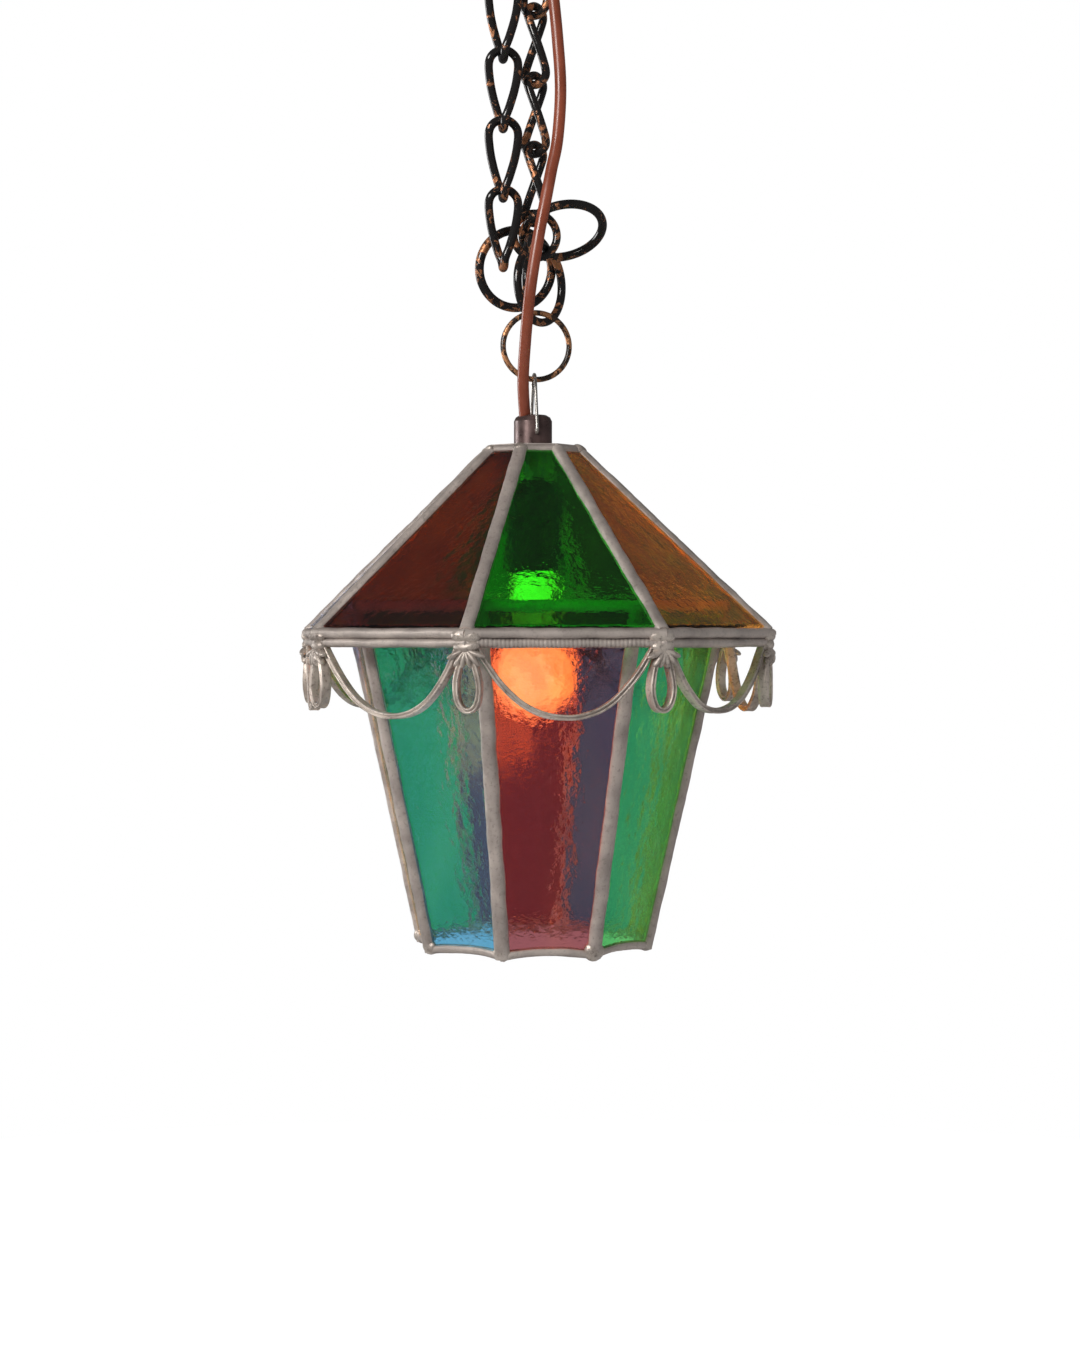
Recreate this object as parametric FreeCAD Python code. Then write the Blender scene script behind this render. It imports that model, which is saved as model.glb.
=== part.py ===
import FreeCAD, Part
import math
import os

# Octagonal leaded-glass pendant lantern hung from a doubled chain of twisted links.
# Millimetres. The origin is on the lantern's axis in the plane of the open bottom rim, +Z is up,
# and two of the eight flat sides face -Y (front) and +Y (back).

Vector = FreeCAD.Vector

# Lantern: radii are measured to the corners of the octagon.
SIDES = 8
RIM_RADIUS = 57.5
EAVE_RADIUS = 119.5
EAVE_Z = 157.5
BODY_TOP_RADIUS = 96.5
BODY_TOP_Z = 172.0
ROOF_TOP_RADIUS = 22.0
ROOF_TOP_Z = 248.5

# Lead cames and glass.
GLASS_THICKNESS = 2.6
GLASS_FIT = 0.15
CORNER_CAME_WIDTH = 7.6
CORNER_CAME_DEPTH = 6.0
HIP_CAME_WIDTH = 7.0
HIP_CAME_DEPTH = 6.0
RIM_CAME_DEPTH = 6.0
RIM_CAME_HEIGHT = 5.0
EAVE_CAME_DEPTH = 7.0
EAVE_CAME_HEIGHT = 9.0
BODY_TOP_CAME_HEIGHT = 6.0
BODY_TOP_CAME_DEPTH = 5.0

# Lead ribbon ornaments under the eave.
RIBBON_THICKNESS = 2.6
RIBBON_DEPTH = 5.0
SWAG_DROP = 32.0
BOW_WIDTH = 15.0
BOW_HEIGHT = 29.0
RIBBON_TOP_Z = 150.2

# Solder joints: radius of each faceted lump, and how far its flat ends reach round from the poles.
EAVE_SOLDER_RADIUS = 3.6
RIM_SOLDER_RADIUS = 3.4
CROWN_SOLDER_RADIUS = 2.6
BALL_END_SHARE = 0.12

# Roof plate, cap and lamp fittings on the axis.
COLLAR_OUTER_RADIUS = 24.5
COLLAR_INNER_RADIUS = 18.0
COLLAR_HEIGHT = 5.0
PLATE_RADIUS = 24.0
PLATE_THICKNESS = 1.6
PLATE_HOLE_RADIUS = 6.1
CAP_RADIUS = 9.5
CAP_WALL = 1.2
CAP_BOTTOM_Z = 250.5
CAP_TOP_Z = 265.5
CAP_HOLE_Z = 256.0
NIPPLE_RADIUS = 6.0
NIPPLE_BORE = 4.6
NIPPLE_FIT = 0.05
NIPPLE_BOTTOM_Z = 223.0
NIPPLE_TOP_Z = 252.0
NUT_ACROSS_FLATS = 14.0
NUT_HEIGHT = 2.0
HOLDER_RADIUS = 14.0
HOLDER_BOTTOM_Z = 184.0
HOLDER_TOP_Z = 232.0
HOLDER_WALL = 1.5
LAMP_CAP_RADIUS = 12.2
LAMP_CAP_LENGTH = 24.0
LAMP_CAP_BOTTOM_Z = HOLDER_BOTTOM_Z + 4.0
GLOBE_RADIUS = 22.5
GLOBE_Z = 136.0
GLOBE_NECK_RADIUS = 11.8
GLOBE_WALL = 1.0

# Hanging wire and its loop.
BAIL_WIRE_RADIUS = 0.8
BAIL_HOLE_RADIUS = 0.87
BAIL_HALF_WIDTH = 12.4
BAIL_BEND_RADIUS = 2.4
BAIL_TOP_BEND_RADIUS = 4.5
BAIL_X = 0.6

# Chain: oval links, rings and the flex.
LINK_WIRE_RADIUS = 2.1
LINK_LENGTH = 38.8
LINK_HALF_WIDTH = 7.3
LINK_CLEARANCE = 0.3
LINK_PITCH = LINK_LENGTH - 2 * LINK_WIRE_RADIUS - LINK_CLEARANCE
LOAD_STRAND = (1.2, 0.0)
SLACK_STRAND = (-15.6, -6.4)
LOAD_STRAND_YAW = 45.0
LOAD_STRAND_BOTTOM_Z = 361.25
SLACK_STRAND_TOP_Z = 376.5
SLACK_RING_CLEARANCE = 7.1
FLEX_RADIUS = 2.9
FLEX_ENTRY = 7.0
FLEX_TOP_Z = 572.0
FLEX_END_LENGTH = 25.0

# Rings: centre, centreline radius, wire radius, yaw about Z, pitch about the ring's own side axis.
RING_A = {"centre": (1.6, 0.0, 300.0), "radius": 16.6, "wire": 1.4, "yaw": 0.0, "pitch": 0.0}
RING_B = {"centre": (3.45, 0.0, 331.0), "radius": 19.1, "wire": 2.1, "yaw": 47.0, "pitch": 0.0}
RING_C = {"centre": (-7.1, 12.5, 340.0), "radius": 19.25, "wire": 2.25, "yaw": 12.5, "pitch": 7.7}
RING_D = {"centre": (15.6, 4.0, 358.2), "radius": 20.25, "wire": 2.25, "yaw": 11.6, "pitch": 58.1}
RING_E = {"centre": (1.15, 0.0, 355.0), "radius": 11.0, "wire": 2.0, "yaw": 3.6, "pitch": 0.0}
RING_F = {"centre": (-2.65, -5.35, 337.6), "radius": 15.5, "wire": 2.0, "yaw": 88.0, "pitch": 0.0}
TOP_RING_RADIUS = 27.5
TOP_RING_WIRE = 2.25

HALF_ANGLE = math.pi / SIDES
QUARTER_TURN = 90.0


def polar(radius, angle, z):
    return Vector(radius * math.cos(angle), radius * math.sin(angle), z)


def corner(radius, z, index):
    """Corner of the octagon to the right of side number index, counted from the front."""
    angle = -math.pi / 2 + HALF_ANGLE + index * 2 * HALF_ANGLE
    return polar(radius, angle, z)


def octagon(radius, z):
    return Part.Face(Part.makePolygon([corner(radius, z, index) for index in range(SIDES + 1)]))


def turned(shape, index):
    copy = shape.copy()
    copy.rotate(Vector(0, 0, 0), Vector(0, 0, 1), 360.0 / SIDES * index)
    return copy


def around(shape):
    """The same piece repeated on all eight sides, as separate solids."""
    return [turned(shape, index) for index in range(SIDES)]


def hull_between(lower, upper):
    """Closed solid between two planar loops with the same number of points."""
    faces = [Part.Face(Part.makePolygon(lower + lower[:1]))]
    faces.append(Part.Face(Part.makePolygon(upper + upper[:1])))
    count = len(lower)
    for index in range(count):
        after = (index + 1) % count
        a, b, c, d = lower[index], lower[after], upper[after], upper[index]
        faces.append(Part.Face(Part.makePolygon([a, b, c, a])))
        faces.append(Part.Face(Part.makePolygon([a, c, d, a])))
    solid = Part.makeSolid(Part.makeShell(faces))
    if solid.Volume < 0:
        solid.reverse()
    return solid.removeSplitter()


def wedge(reach, low, high):
    """The front sector of the octagon, used to mitre pieces on the corner planes."""
    points = [Vector(0, 0, low), corner(reach, low, -1), corner(reach, low, 0), Vector(0, 0, low)]
    return Part.Face(Part.makePolygon(points)).extrude(Vector(0, 0, high - low))


def swept_bar(start, end, width_axis, depth_axis, profile):
    """A bar from start to end; profile is a list of (across, deep) points round its section."""
    lower = [start + width_axis * across + depth_axis * deep for across, deep in profile]
    upper = [end + width_axis * across + depth_axis * deep for across, deep in profile]
    return hull_between(lower, upper)


def rounded_profile(width, depth, steps=3):
    """Came section: flat inner face, softly arched outer face."""
    half = width / 2.0
    points = [(-half, -depth / 2.0), (half, -depth / 2.0), (half, depth * 0.1)]
    for step in range(1, steps):
        angle = math.pi * step / steps
        points.append((half * math.cos(angle), depth * 0.1 + depth * 0.4 * math.sin(angle)))
    points.append((-half, depth * 0.1))
    return points


def side_frame(lower_radius, lower_z, upper_radius, upper_z, index=0):
    """Unit vectors of a sloping side: along its lower edge, up its slope, and outward."""
    left = corner(lower_radius, lower_z, index - 1)
    right = corner(lower_radius, lower_z, index)
    top = corner(upper_radius, upper_z, index) + corner(upper_radius, upper_z, index - 1)
    across = (right - left).normalize()
    slope = (top * 0.5 - (left + right) * 0.5).normalize()
    outward = across.cross(slope).normalize()
    return across, slope, outward


def sloping_pane(lower_radius, lower_z, upper_radius, upper_z, insets, growth=0.0):
    """One front pane: a trapezoid of glass on the sloping side, inset from the side's edges.

    insets are the distances from the corner lines, from the lower edge and from the upper edge.
    growth makes the same pane larger all round, to cut the slot that it slides into.
    """
    side_inset, low_inset, high_inset = [inset - growth for inset in insets]
    thickness = GLASS_THICKNESS + 2 * growth
    across, slope, outward = side_frame(lower_radius, lower_z, upper_radius, upper_z)
    low_left = corner(lower_radius, lower_z, -1)
    low_right = corner(lower_radius, lower_z, 0)
    high_left = corner(upper_radius, upper_z, -1)
    high_right = corner(upper_radius, upper_z, 0)
    height = ((high_left + high_right) * 0.5 - (low_left + low_right) * 0.5).Length

    def edge_point(low, high, rise, inward):
        point = low + (high - low) * (rise / height)
        return point + across * inward

    outline = [
        edge_point(low_left, high_left, low_inset, side_inset),
        edge_point(low_right, high_right, low_inset, -side_inset),
        edge_point(low_right, high_right, height - high_inset, -side_inset),
        edge_point(low_left, high_left, height - high_inset, side_inset),
    ]
    back = [point - outward * (thickness / 2) for point in outline]
    face = Part.Face(Part.makePolygon(back + back[:1]))
    return face.extrude(outward * thickness)


def corner_bar(lower_radius, lower_z, upper_radius, upper_z, width, depth):
    """A came along the corner line at the right of the front side."""
    start = corner(lower_radius, lower_z, 0)
    end = corner(upper_radius, upper_z, 0)
    radial = corner(1.0, 0.0, 0)
    along = (end - start).normalize()
    width_axis = Vector(0, 0, 1).cross(radial).normalize()
    depth_axis = width_axis.cross(along).normalize()
    if depth_axis.dot(radial) < 0:
        depth_axis = depth_axis * -1
    return swept_bar(start, end, width_axis, depth_axis, rounded_profile(width, depth))


def mitred(shape, low, high):
    return shape.common(wedge(3 * EAVE_RADIUS, low, high))


def straight_rim(radius, z, profile, tilt_axis_up, tilt_axis_out):
    """A came along the front edge of the octagon, cut to a mitre at both corners."""
    left = corner(radius, z, -1)
    right = corner(radius, z, 0)
    reach = (right - left).normalize() * 12
    bar = swept_bar(left - reach, right + reach, tilt_axis_up, tilt_axis_out, profile)
    return mitred(bar, z - 60, z + 60)


def oval_path(length, half_width, twist, steps=12):
    """Centreline points of an oval link, top at the origin; the lower bow is turned by twist."""
    straight_half = length / 2.0 - half_width
    bow = math.pi * half_width / 2.0
    perimeter = 4 * straight_half + 4 * bow
    twist_start = 0.5 * half_width / length
    points = []
    for step in range(2 * steps):
        run = perimeter * step / (2 * steps)
        if run < bow:
            side = half_width * math.sin(run / half_width)
            rise = straight_half + half_width * math.cos(run / half_width)
        elif run < bow + 2 * straight_half:
            side = half_width
            rise = straight_half - (run - bow)
        elif run < 3 * bow + 2 * straight_half:
            turn = (run - bow - 2 * straight_half) / half_width
            side = half_width * math.cos(turn)
            rise = -straight_half - half_width * math.sin(turn)
        elif run < 3 * bow + 4 * straight_half:
            side = -half_width
            rise = -straight_half + (run - 3 * bow - 2 * straight_half)
        else:
            turn = (run - 3 * bow - 4 * straight_half) / half_width
            side = -half_width * math.cos(turn)
            rise = straight_half + half_width * math.sin(turn)
        share = (0.5 - rise / length - twist_start) / (1 - 2 * twist_start)
        angle = -math.radians(twist) * min(1.0, max(0.0, share))
        points.append(Vector(side * math.cos(angle), side * math.sin(angle), rise - length / 2.0))
    return points


def wire_loop(points, radius):
    """Round wire bent along a closed curve through the points, swept in two open halves."""
    curve = Part.BSplineCurve()
    curve.interpolate(Points=points, PeriodicFlag=True)
    first, last = curve.FirstParameter, curve.LastParameter
    middle = (first + last) / 2
    faces = []
    for start, end in ((first, middle), (middle, last)):
        path = Part.Wire([curve.toShape(start, end)])
        circle = Part.makeCircle(radius, curve.value(start), curve.tangent(start)[0])
        faces.extend(path.makePipeShell([Part.Wire([circle])], False, False).Faces)
    shell = Part.Shell(faces)
    shell.sewShape()
    return Part.Solid(shell)


def plain_oval_link(length):
    """Flat oval link in the plane of X and Z, top at the origin."""
    reach = LINK_HALF_WIDTH
    low = -length + reach
    top = Part.Arc(Vector(-reach, 0, -reach), Vector(0, 0, 0), Vector(reach, 0, -reach))
    bottom = Part.Arc(Vector(reach, 0, low), Vector(0, 0, -length), Vector(-reach, 0, low))
    right = Part.makeLine(Vector(reach, 0, -reach), Vector(reach, 0, low))
    left = Part.makeLine(Vector(-reach, 0, low), Vector(-reach, 0, -reach))
    path = Part.Wire([top.toShape(), right, bottom.toShape(), left])
    circle = Part.Wire([Part.makeCircle(LINK_WIRE_RADIUS, Vector(-reach, 0, -reach), Vector(0, 0, 1))])
    return path.makePipeShell([circle], True, False)


def twisted_link(twist):
    """Oval link whose lower bow is turned by twist from its upper bow."""
    return wire_loop(oval_path(LINK_LENGTH, LINK_HALF_WIDTH, twist), LINK_WIRE_RADIUS)


def chain_link(link, strand, top_z, yaw):
    link.rotate(Vector(0, 0, 0), Vector(0, 0, 1), yaw)
    link.translate(Vector(strand[0], strand[1], top_z))
    return link


def wire_ring(ring):
    """A bent wire ring; yaw 0 and pitch 0 stand it upright facing front."""
    torus = Part.makeTorus(ring["radius"], ring["wire"])
    torus.rotate(Vector(0, 0, 0), Vector(1, 0, 0), 90 + ring["pitch"])
    torus.rotate(Vector(0, 0, 0), Vector(0, 0, 1), ring["yaw"])
    torus.translate(Vector(*ring["centre"]))
    return torus


def save(name, solids):
    if not isinstance(solids, list):
        solids = [solids]
    flat = []
    for solid in solids:
        flat.extend(solid.Solids)
    shape = flat[0] if len(flat) == 1 else Part.makeCompound(flat)
    shape.exportStep("parts/" + name + ".step")


def filleted_loop(vertices, radii):
    """Closed path of straight runs joined by arcs of the given radii."""
    count = len(vertices)
    entries, exits, middles = [], [], []
    for index in range(count):
        vertex = vertices[index]
        before = (vertices[index - 1] - vertex).normalize()
        after = (vertices[(index + 1) % count] - vertex).normalize()
        half = before.getAngle(after) / 2.0
        setback = radii[index] / math.tan(half)
        bisector = (before + after).normalize()
        centre = vertex + bisector * (radii[index] / math.sin(half))
        entries.append(vertex + before * setback)
        exits.append(vertex + after * setback)
        middles.append(centre - bisector * radii[index])
    edges = []
    for index in range(count):
        edges.append(Part.Arc(entries[index], middles[index], exits[index]).toShape())
        edges.append(Part.makeLine(exits[index], entries[(index + 1) % count]))
    return Part.Wire(edges)


def revolved(outline):
    """Solid of revolution about the lantern's axis from (radius, z) points."""
    points = [Vector(radius, 0, z) for radius, z in outline]
    face = Part.Face(Part.makePolygon(points + points[:1]))
    return face.revolve(Vector(0, 0, 0), Vector(0, 0, 1), 360)


def tube(outer, inner, low, high):
    solid = Part.makeCylinder(outer, high - low, Vector(0, 0, low))
    return solid.cut(Part.makeCylinder(inner, high - low + 2, Vector(0, 0, low - 1)))


def cut_all(shape, tools):
    for tool in tools:
        shape = shape.cut(tool)
    return shape


# Lantern pieces, each built once for the front side or for the corner at its right.

BODY_LINE = (RIM_RADIUS, 0.0, BODY_TOP_RADIUS, BODY_TOP_Z)
ROOF_LINE = (EAVE_RADIUS, EAVE_Z, ROOF_TOP_RADIUS, ROOF_TOP_Z)
BODY_INSETS = (2.0, 3.4, 3.0)
ROOF_INSETS = (1.9, 2.6, 3.2)


def body_pane(growth=0.0):
    return sloping_pane(*BODY_LINE, BODY_INSETS, growth)


def roof_pane(growth=0.0):
    return sloping_pane(*ROOF_LINE, ROOF_INSETS, growth)


def neighbours(shape):
    """The piece with its copies on the sides before and after."""
    return [turned(shape, -1), shape, turned(shape, 1)]


def rim_came():
    up = Vector(0, 0, 1)
    out = Vector(0, -1, 0)
    profile = rounded_profile(RIM_CAME_HEIGHT, RIM_CAME_DEPTH)
    bar = straight_rim(RIM_RADIUS, RIM_CAME_HEIGHT / 2, profile, up, out)
    return cut_all(bar, [body_pane(GLASS_FIT)])


def eave_came():
    """Two beads, one above the other, along the lower edge of a roof pane."""
    up = Vector(0, 0, 1)
    out = Vector(0, -1, 0)
    bead = rounded_profile(EAVE_CAME_HEIGHT / 2, EAVE_CAME_DEPTH, 5)
    lower = straight_rim(EAVE_RADIUS - 1, EAVE_Z - EAVE_CAME_HEIGHT / 2 - 0.5, bead, up, out)
    upper = straight_rim(EAVE_RADIUS - 1, EAVE_Z - 0.5, bead, up, out)
    return cut_all(lower.fuse(upper), [roof_pane(GLASS_FIT)])


def body_top_came():
    up = Vector(0, 0, 1)
    out = Vector(0, -1, 0)
    profile = rounded_profile(BODY_TOP_CAME_HEIGHT, BODY_TOP_CAME_DEPTH)
    bar = straight_rim(BODY_TOP_RADIUS, BODY_TOP_Z - BODY_TOP_CAME_HEIGHT / 2, profile, up, out)
    return bar


def corner_came(rim, top):
    bar = corner_bar(*BODY_LINE, CORNER_CAME_WIDTH, CORNER_CAME_DEPTH)
    panes = [body_pane(GLASS_FIT), turned(body_pane(GLASS_FIT), 1)]
    below = Part.makeBox(300, 300, 20, Vector(-150, -150, -20))
    ends = [rim, turned(rim, 1), top, turned(top, 1), below]
    return largest(cut_all(bar, panes + ends))


def hip_came(eave, top_ring):
    bar = corner_bar(*ROOF_LINE, HIP_CAME_WIDTH, HIP_CAME_DEPTH)
    panes = [roof_pane(GLASS_FIT), turned(roof_pane(GLASS_FIT), 1)]
    return largest(cut_all(bar, panes + [eave, turned(eave, 1), top_ring, top_plate()]))


def largest(shape):
    return max(shape.Solids, key=lambda solid: solid.Volume)


def roof_top_ring():
    """Octagonal collar that closes the top of the roof."""
    low = ROOF_TOP_Z - COLLAR_HEIGHT
    outer = octagon(COLLAR_OUTER_RADIUS, low)
    inner = octagon(COLLAR_INNER_RADIUS, low)
    return outer.cut(inner).extrude(Vector(0, 0, COLLAR_HEIGHT))


def top_plate():
    plate = octagon(PLATE_RADIUS, ROOF_TOP_Z).extrude(Vector(0, 0, PLATE_THICKNESS))
    return plate.cut(Part.makeCylinder(PLATE_HOLE_RADIUS, 20, Vector(0, 0, ROOF_TOP_Z - 5)))


def ribbon(centreline, depth_direction):
    """Flat lead strip standing on edge along a planar centreline."""
    last = len(centreline) - 1
    outer, inner = [], []
    for index, point in enumerate(centreline):
        before = centreline[max(index - 1, 0)]
        after = centreline[min(index + 1, last)]
        normal = (after - before).cross(depth_direction).normalize()
        outer.append(point + normal * (RIBBON_THICKNESS / 2))
        inner.append(point - normal * (RIBBON_THICKNESS / 2))
    start = depth_direction * (-RIBBON_DEPTH / 2)
    outline = [point + start for point in outer + inner[::-1]]
    face = Part.Face(Part.makePolygon(outline + outline[:1]))
    return face.extrude(depth_direction * RIBBON_DEPTH)


def teardrop(top, across, half_width, height):
    """Closed outline of a drop hanging from a point, in the plane of across and Z."""
    points = []
    for step in range(28):
        angle = 2 * math.pi * step / 28
        rise = -height * (1 - math.cos(angle)) / 2
        side = half_width * math.sin(angle) * abs(math.sin(angle / 2)) ** 0.7 * 1.08
        points.append(top + across * side + Vector(0, 0, rise))
    return Part.Face(Part.makePolygon(points + points[:1]))


def bow_loop():
    """Teardrop loop hanging from the eave at the corner to the right of the front side."""
    out = corner(1.0, 0.0, 0)
    across = Vector(0, 0, 1).cross(out).normalize()
    top = corner(EAVE_RADIUS - 1.0 - RIBBON_DEPTH / 2, RIBBON_TOP_Z, 0)
    top_gap = 2.4 * RIBBON_THICKNESS
    outer = teardrop(top, across, BOW_WIDTH / 2, BOW_HEIGHT)
    inner_height = BOW_HEIGHT - RIBBON_THICKNESS - top_gap
    inner_top = top - Vector(0, 0, top_gap)
    inner = teardrop(inner_top, across, BOW_WIDTH / 2 - RIBBON_THICKNESS, inner_height)
    return outer.cut(inner).extrude(out * RIBBON_DEPTH)


def swag():
    """Festoon from corner to corner below the front eave."""
    half_side = (EAVE_RADIUS - 1) * math.sin(HALF_ANGLE) - 6.5
    distance = (EAVE_RADIUS - 1) * math.cos(HALF_ANGLE)
    points = []
    for step in range(25):
        share = -1 + 2 * step / 24
        sag = (SWAG_DROP - RIBBON_THICKNESS) * (1 - abs(share) ** 2.3)
        points.append(Vector(half_side * share, -distance, RIBBON_TOP_Z - 1.3 - sag))
    return ribbon(points, Vector(0, -1, 0))


def lantern_cap():
    """Domed metal cup standing on the top plate, cross-drilled for the hanging wire."""
    base = ROOF_TOP_Z + PLATE_THICKNESS
    outer = [(0, base), (CAP_RADIUS, base), (CAP_RADIUS, CAP_TOP_Z - 3.0)]
    outer += [(CAP_RADIUS - 0.9, CAP_TOP_Z - 1.1), (CAP_RADIUS - 2.8, CAP_TOP_Z), (0, CAP_TOP_Z)]
    inner_radius = CAP_RADIUS - CAP_WALL
    inner = [(0, base - 1), (inner_radius, base - 1), (inner_radius, CAP_TOP_Z - 3.4)]
    inner += [(CAP_RADIUS - 2.9, CAP_TOP_Z - CAP_WALL), (0, CAP_TOP_Z - CAP_WALL)]
    cup = revolved(outer).cut(revolved(inner))
    cross = Part.makeCylinder(BAIL_HOLE_RADIUS, 40, Vector(BAIL_X, -20, CAP_HOLE_Z), Vector(0, 1, 0))
    start = Vector(-4.2, -1.0, CAP_TOP_Z - 4)
    entry = Part.makeCylinder(FLEX_RADIUS + 0.9, 10, start, Vector(-0.06, -0.3, 1))
    return cup.cut(cross).cut(entry)


def hex_prism(across_flats, low, high):
    radius = across_flats / math.sqrt(3)
    points = [polar(radius, math.pi / 3 * index, low) for index in range(7)]
    return Part.Face(Part.makePolygon(points)).extrude(Vector(0, 0, high - low))


def wire_bail():
    """Closed loop of hanging wire: straight through the cap, then up to a narrow top bend."""
    ring_wire_z = RING_A["centre"][2] - RING_A["radius"]
    top_z = ring_wire_z + RING_A["wire"] + BAIL_WIRE_RADIUS + LINK_CLEARANCE
    apex_z = top_z + 12.0
    for _ in range(40):
        half = math.atan2(BAIL_HALF_WIDTH, apex_z - CAP_HOLE_Z)
        apex_z += top_z - (apex_z - BAIL_TOP_BEND_RADIUS * (1 / math.sin(half) - 1))
    vertices = [
        Vector(BAIL_X, -BAIL_HALF_WIDTH, CAP_HOLE_Z),
        Vector(BAIL_X, BAIL_HALF_WIDTH, CAP_HOLE_Z),
        Vector(BAIL_X, 0, apex_z),
    ]
    path = filleted_loop(vertices, [BAIL_BEND_RADIUS, BAIL_BEND_RADIUS, BAIL_TOP_BEND_RADIUS])
    start = path.Edges[0].Vertexes[0].Point
    edge = path.Edges[0]
    tangent = edge.tangentAt(edge.FirstParameter)
    circle = Part.Wire([Part.makeCircle(BAIL_WIRE_RADIUS, start, tangent)])
    return path.makePipeShell([circle], True, True)


def flex_cable():
    """Round flex from the lampholder out through the cap and up in front of the chain."""
    points = [
        (0, 0, NIPPLE_BOTTOM_Z + FLEX_ENTRY), (0, 0, 243), (-1.3, 0, 251),
        (-4.1, -0.2, 257), (-4.4, -2.0, 265), (-6.0, -8.0, 281), (-6.2, -16.5, 298),
        (-4.9, -25.0, 323.5), (-1.0, -26.5, 350), (3.2, -26.0, 371), (5.8, -24.5, 383.5),
        (9.1, -22.5, 399), (10.9, -20.5, 423.5), (9.7, -18.5, 448.5), (7.4, -17.0, 473.5),
        (4.5, -15.5, 500), (3.0, -14.5, 526), (3.0, -14.5, FLEX_TOP_Z - FLEX_END_LENGTH),
    ]
    curve = Part.BSplineCurve()
    places = [Vector(*point) for point in points]
    curve.interpolate(Points=places, InitialTangent=Vector(0, 0, 1), FinalTangent=Vector(0, 0, 1))
    path = Part.Wire([curve.toShape()])
    circle = Part.Wire([Part.makeCircle(FLEX_RADIUS, places[0], Vector(0, 0, 1))])
    bent = path.makePipeShell([circle], True, False)
    end = Part.makeCylinder(FLEX_RADIUS, FLEX_END_LENGTH, places[-1])
    return bent.fuse(end)


def top_ring():
    """Large ring above both strands; the loaded strand hangs at its lowest point."""
    load_x, load_y = LOAD_STRAND
    across = Vector(load_x - SLACK_STRAND[0], load_y - SLACK_STRAND[1], 0)
    yaw = math.degrees(math.atan2(across.y, across.x))
    centre = (load_x, load_y, top_ring_z())
    ring = {"centre": centre, "radius": TOP_RING_RADIUS, "wire": TOP_RING_WIRE, "yaw": yaw, "pitch": 0.0}
    return wire_ring(ring)


def load_strand_top_z():
    return LOAD_STRAND_BOTTOM_Z + LINK_LENGTH + 3 * LINK_PITCH


def top_ring_z():
    return load_strand_top_z() - LINK_WIRE_RADIUS - TOP_RING_WIRE - LINK_CLEARANCE + TOP_RING_RADIUS


def load_links():
    """Four loaded links from the top ring down; the first is a plain oval, the others are twisted."""
    top_z = load_strand_top_z()
    links = [chain_link(plain_oval_link(LINK_LENGTH), LOAD_STRAND, top_z, -LOAD_STRAND_YAW)]
    for index in range(1, 4):
        place = top_z - index * LINK_PITCH
        links.append(chain_link(twisted_link(-QUARTER_TURN), LOAD_STRAND, place, LOAD_STRAND_YAW))
    return links


def slack_links():
    """Five slack links; the first is a plain oval cut to reach the top ring's side."""
    run = math.hypot(LOAD_STRAND[0] - SLACK_STRAND[0], LOAD_STRAND[1] - SLACK_STRAND[1])
    ring_z = top_ring_z() - math.sqrt(TOP_RING_RADIUS ** 2 - run ** 2)
    first_top = ring_z + SLACK_RING_CLEARANCE
    first_bottom = SLACK_STRAND_TOP_Z + 3 * LINK_PITCH - 2 * LINK_WIRE_RADIUS - LINK_CLEARANCE
    links = [chain_link(plain_oval_link(first_top - first_bottom), SLACK_STRAND, first_top, QUARTER_TURN)]
    for index in range(3, -1, -1):
        place = SLACK_STRAND_TOP_Z + index * LINK_PITCH
        links.append(chain_link(twisted_link(QUARTER_TURN), SLACK_STRAND, place, 0))
    return links


def faceted_ball(radius, centre, around=10, levels=4):
    """Lump with flat facets: regular polygons of points stacked one above the other."""
    rings = []
    for level in range(levels + 1):
        tilt = math.pi * (BALL_END_SHARE + (1 - 2 * BALL_END_SHARE) * level / levels)
        reach, rise = radius * math.sin(tilt), -radius * math.cos(tilt)
        rings.append([centre + polar(reach, 2 * math.pi * k / around, rise) for k in range(around)])
    faces = [Part.Face(Part.makePolygon(ring + ring[:1])) for ring in (rings[0], rings[-1])]
    for low, high in zip(rings, rings[1:]):
        for k in range(around):
            after = (k + 1) % around
            faces.append(Part.Face(Part.makePolygon([low[k], low[after], high[after], high[k], low[k]])))
    ball = Part.makeSolid(Part.makeShell(faces))
    if ball.Volume < 0:
        ball.reverse()
    return ball


def solder(radius, centre, tools):
    return largest(cut_all(faceted_ball(radius, centre), tools))


def globe():
    """Hollow glass globe with a neck that enters the screw cap."""
    neck_z = GLOBE_Z + math.sqrt(GLOBE_RADIUS ** 2 - GLOBE_NECK_RADIUS ** 2)
    outer = Part.makeSphere(GLOBE_RADIUS, Vector(0, 0, GLOBE_Z))
    neck_length = LAMP_CAP_BOTTOM_Z - neck_z
    outer = outer.fuse(Part.makeCylinder(GLOBE_NECK_RADIUS, neck_length + 2, Vector(0, 0, neck_z - 2)))
    inner = Part.makeSphere(GLOBE_RADIUS - GLOBE_WALL, Vector(0, 0, GLOBE_Z))
    bore = GLOBE_NECK_RADIUS - GLOBE_WALL
    inner = inner.fuse(Part.makeCylinder(bore, neck_length + 8, Vector(0, 0, neck_z - 4)))
    return outer.cut(inner)


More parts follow.
